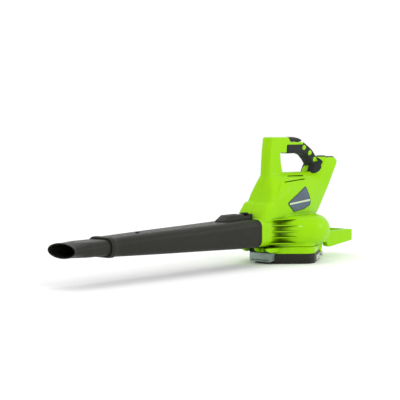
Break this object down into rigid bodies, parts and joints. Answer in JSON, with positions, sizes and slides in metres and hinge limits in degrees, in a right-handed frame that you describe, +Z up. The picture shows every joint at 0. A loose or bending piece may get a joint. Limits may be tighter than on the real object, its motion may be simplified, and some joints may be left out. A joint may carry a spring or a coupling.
{
  "type": "leaf blower",
  "caption": "Cordless leaf blower with a fan scroll on a hinged inlet door, a top grip with trigger, a tilted battery pack, a rear loop handle and a two-piece tube with a flat nozzle.",
  "frame": {"origin": "on the fan's axis, at the flat underside of the inlet door on which the machine stands", "axes": "+Z up along the fan's axis; the tube points along -X; -Y is the machine's left side"},
  "size_m": [1.092, 0.2398, 0.3469],
  "materials": {
    "green_shell": "satin",
    "charcoal_shell": "satin",
    "grip_rubber": "matte",
    "control_black": "satin",
    "badge_slate": "satin",
    "latch_grey": "satin",
    "hinge_silver": "satin",
    "steel": "satin",
    "motor_alloy": "satin",
    "copper_winding": "satin",
    "rotor_steel": "satin",
    "circuit_board": "satin",
    "cable_red": "satin",
    "cable_black": "satin",
    "battery_black": "satin"
  },
  "bodies": {
    "housing": {"housing_left": "green_shell", "housing_right": "green_shell", "intake_ring": "green_shell", "hinge_pin": "steel", "grip_left": "grip_rubber", "grip_right": "grip_rubber", "badge_left": "badge_slate", "badge_right": "badge_slate", "trigger_pin": "steel", "cruise_lever_pin": "steel", "rear_handle": "green_shell", "motor_mount": "motor_alloy", "motor_can": "steel", "motor_stator": "copper_winding", "motor_end_cap": "motor_alloy", "lower_bearing": "steel", "upper_bearing": "steel", "controller_board": "circuit_board", "switch_module": "control_black", "terminal_block": "control_black", "power_cable": "cable_red", "motor_cable": "cable_black", "housing_screw_1": "steel", "housing_screw_2": "steel", "housing_screw_3": "steel", "housing_screw_4": "steel", "housing_screw_5": "steel", "housing_screw_6": "steel"},
    "fan": {"impeller": "control_black", "motor_shaft": "steel", "motor_rotor": "rotor_steel", "fan_nut": "steel"},
    "trigger_finger": {"trigger": "control_black"},
    "cruise": {"cruise_lever": "control_black"},
    "battery": {"battery_pack": "battery_black"},
    "pack_button": {"battery_button": "control_black"},
    "door": {"inlet_door": "charcoal_shell", "hinge_bracket": "hinge_silver", "latch_pin": "steel"},
    "latch": {"door_latch": "latch_grey"},
    "tube": {"upper_tube": "charcoal_shell", "release_pin": "steel"},
    "release": {"tube_release": "control_black"},
    "nozzle": {"nozzle_tube": "charcoal_shell"},
    "nozzle_lock": {"nozzle_lock_button": "control_black"}
  },
  "joints": [
    {"name": "fan_spin", "type": "hinge", "parent": "housing", "child": "fan", "pos_m": [0, 0, 0.08], "axis": [0, 0, 1], "continuous": true},
    {"name": "trigger_squeeze", "type": "hinge", "parent": "housing", "child": "trigger_finger", "pos_m": [-0.0085, 0, 0.315], "axis": [0, -1, 0], "range_deg": [0, 8], "stiffness_Nm_per_rad": 0.6, "springref_deg": -5.73},
    {"name": "cruise_lift", "type": "hinge", "parent": "housing", "child": "cruise", "pos_m": [0.053, 0, 0.3272], "axis": [0, 1, 0], "range_deg": [0, 30]},
    {"name": "battery_slide", "type": "slide", "parent": "housing", "child": "battery", "axis": [0.5373, 0, 0.8434], "range_m": [0, 0.125]},
    {"name": "pack_button_press", "type": "slide", "parent": "battery", "child": "pack_button", "axis": [0, 0, -1], "range_m": [0, 0.0012], "stiffness_N_per_m": 800, "springref_m": -0.002},
    {"name": "door_swing", "type": "hinge", "parent": "housing", "child": "door", "pos_m": [0.111, 0, 0.0125], "axis": [0, -1, 0], "range_deg": [0, 95]},
    {"name": "latch_swing", "type": "hinge", "parent": "door", "child": "latch", "pos_m": [-0.102, 0, 0.015], "axis": [0, -1, 0], "range_deg": [0, 60]},
    {"name": "tube_slide", "type": "slide", "parent": "housing", "child": "tube", "axis": [-1, 0, 0], "range_m": [0, 0.06]},
    {"name": "tube_release_press", "type": "hinge", "parent": "tube", "child": "release", "pos_m": [-0.171, 0, 0.137], "axis": [0, -1, 0], "range_deg": [0, 5], "stiffness_Nm_per_rad": 0.2, "springref_deg": -8.59},
    {"name": "nozzle_slide", "type": "slide", "parent": "tube", "child": "nozzle", "axis": [-1, 0, 0], "range_m": [0, 0.05]},
    {"name": "nozzle_lock_press", "type": "slide", "parent": "tube", "child": "nozzle_lock", "axis": [0, 0, -1], "range_m": [0, 0.002], "stiffness_N_per_m": 500, "springref_m": -0.002}
  ]
}
